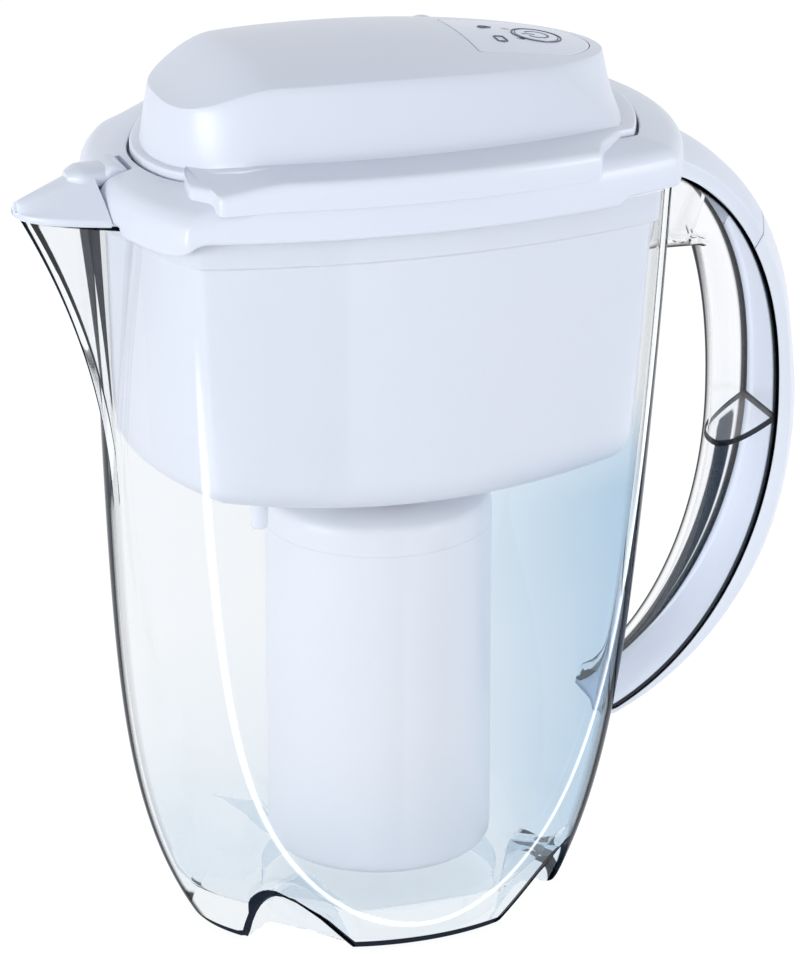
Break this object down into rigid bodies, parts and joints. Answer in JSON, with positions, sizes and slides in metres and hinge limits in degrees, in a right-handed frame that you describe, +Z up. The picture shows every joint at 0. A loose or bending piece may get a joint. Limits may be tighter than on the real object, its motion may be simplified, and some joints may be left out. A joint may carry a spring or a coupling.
{
  "type": "water filter pitcher",
  "caption": "Clear oval pitcher with a flap spout and hollow handle, a lift-out hopper with a filter cartridge, and a pump lid.",
  "frame": {"origin": "on the table, under the middle of the pitcher's bounding box", "axes": "+Z up, spout towards -X, handle towards +X, +Y to the back"},
  "size_m": [0.2533, 0.1324, 0.2829],
  "materials": {
    "clear_body": "clear moulded plastic",
    "white_body": "gloss",
    "steel": "plain",
    "seal": "soft",
    "carbon": "porous",
    "membrane": "fibrous",
    "panel": "satin",
    "light_pipe": "clear",
    "board": "lacquered",
    "dark_plastic": "fine grain",
    "battery_wrap": "shrink wrap",
    "dark_rubber": "soft"
  },
  "bodies": {
    "base": {"jug": "clear_body", "handle_channel": "clear_body", "handle_strip": "white_body"},
    "hopper_unit": {"hopper": "white_body", "collar": "white_body", "handle_crest": "white_body", "flap_pin": "steel", "vent_valve": "white_body"},
    "cartridge": {"cartridge_shell": "white_body", "cartridge_cap": "white_body", "neck_seal": "seal", "carbon_block": "carbon", "membrane_bundle": "membrane", "outlet_cap": "white_body"},
    "flap": {"spout_flap": "white_body"},
    "lid": {"lid_base": "white_body", "lid_cover": "white_body", "lid_gasket": "seal", "control_panel": "panel", "light_pipes": "light_pipe", "circuit_board": "board", "power_switch": "dark_plastic", "battery": "battery_wrap", "pump_motor": "steel", "pump_head": "dark_plastic", "air_tube": "seal", "air_valve": "dark_rubber", "charge_socket": "steel", "cover_screws": "steel"},
    "button": {"power_button": "panel"},
    "crank": {"pump_crank": "steel"},
    "plug": {"port_plug": "seal"}
  },
  "joints": [
    {"name": "hopper_lift", "type": "slide", "parent": "base", "child": "hopper_unit", "axis": [0, 0, 1], "range_m": [0, 0.25]},
    {"name": "cartridge_turn", "type": "hinge", "parent": "hopper_unit", "child": "cartridge", "pos_m": [-0.01316, 0, 0.15], "axis": [0, 0, 1], "range_deg": [0, 90]},
    {"name": "flap_turn", "type": "hinge", "parent": "hopper_unit", "child": "flap", "pos_m": [-0.09666, 0, 0.2476], "axis": [0, 1, 0], "range_deg": [0, 75]},
    {"name": "lid_lift", "type": "slide", "parent": "hopper_unit", "child": "lid", "axis": [0, 0, 1], "range_m": [0, 0.06]},
    {"name": "button_press", "type": "slide", "parent": "lid", "child": "button", "axis": [0, 0, -1], "range_m": [0, 0.0008], "stiffness_N_per_m": 600},
    {"name": "crank_turn", "type": "hinge", "parent": "lid", "child": "crank", "pos_m": [-0.06316, -0.008, 0.2578], "axis": [1, 0, 0], "continuous": true},
    {"name": "plug_pull", "type": "slide", "parent": "lid", "child": "plug", "axis": [0, 1, 0], "range_m": [0, 0.012]}
  ]
}
